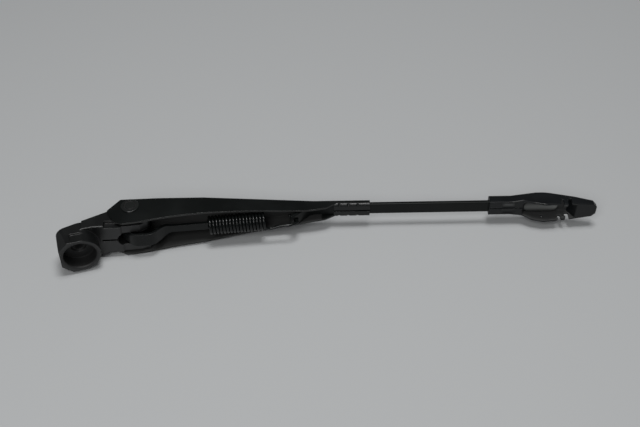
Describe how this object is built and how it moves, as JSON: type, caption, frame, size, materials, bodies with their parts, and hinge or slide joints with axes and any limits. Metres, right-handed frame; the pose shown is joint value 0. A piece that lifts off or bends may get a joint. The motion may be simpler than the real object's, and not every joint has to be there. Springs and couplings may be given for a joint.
{
  "type": "wiper arm",
  "caption": "Black windscreen wiper arm: cast spindle head, riveted folding channel with a tension spring, flat rod and a stamped blade holder.",
  "frame": {"origin": "cup-side mouth of the straight spindle bore in the head, on the bore's axis", "axes": "+X along the arm from the head to the blade holder, +Y to the arm's outer face, +Z along the hinge rivet"},
  "size_m": [0.3148, 0.0416, 0.0282],
  "materials": {
    "head_paint": "satin black paint on a die-cast head",
    "rivet_paint": "black paint over a formed rivet",
    "pin_steel": "plain drawn steel pin",
    "link_paint": "black paint on bent strip steel",
    "spring_paint": "glossy black coating on spring wire",
    "rod_paint": "satin black paint on flat bar",
    "channel_paint": "satin black paint on folded sheet steel",
    "holder_paint": "satin black paint on stamped sheet steel"
  },
  "bodies": {
    "head": {"wiper_head": "head_paint", "link_pin": "pin_steel"},
    "arm": {"arm_channel": "channel_paint", "hinge_pin": "rivet_paint", "arm_rod": "rod_paint", "blade_holder": "holder_paint"},
    "link": {"spring_link": "link_paint", "tension_spring": "spring_paint"}
  },
  "joints": [
    {"name": "arm_hinge", "type": "hinge", "parent": "head", "child": "arm", "pos_m": [0.02953, 0.01692, 0], "axis": [0, 0, 1], "range_deg": [0, 80], "stiffness_Nm_per_rad": 0.3, "springref_deg": -45.84, "deforming": ["tension_spring"]},
    {"name": "link_pivot", "type": "hinge", "parent": "head", "child": "link", "pos_m": [0.02753, 0.00942, 0], "axis": [0, 0, 1], "range_deg": [0, 75.2]}
  ],
  "couplings": [
    {"joint": "link_pivot", "follows": "arm_hinge", "ratio": 0.94}
  ]
}
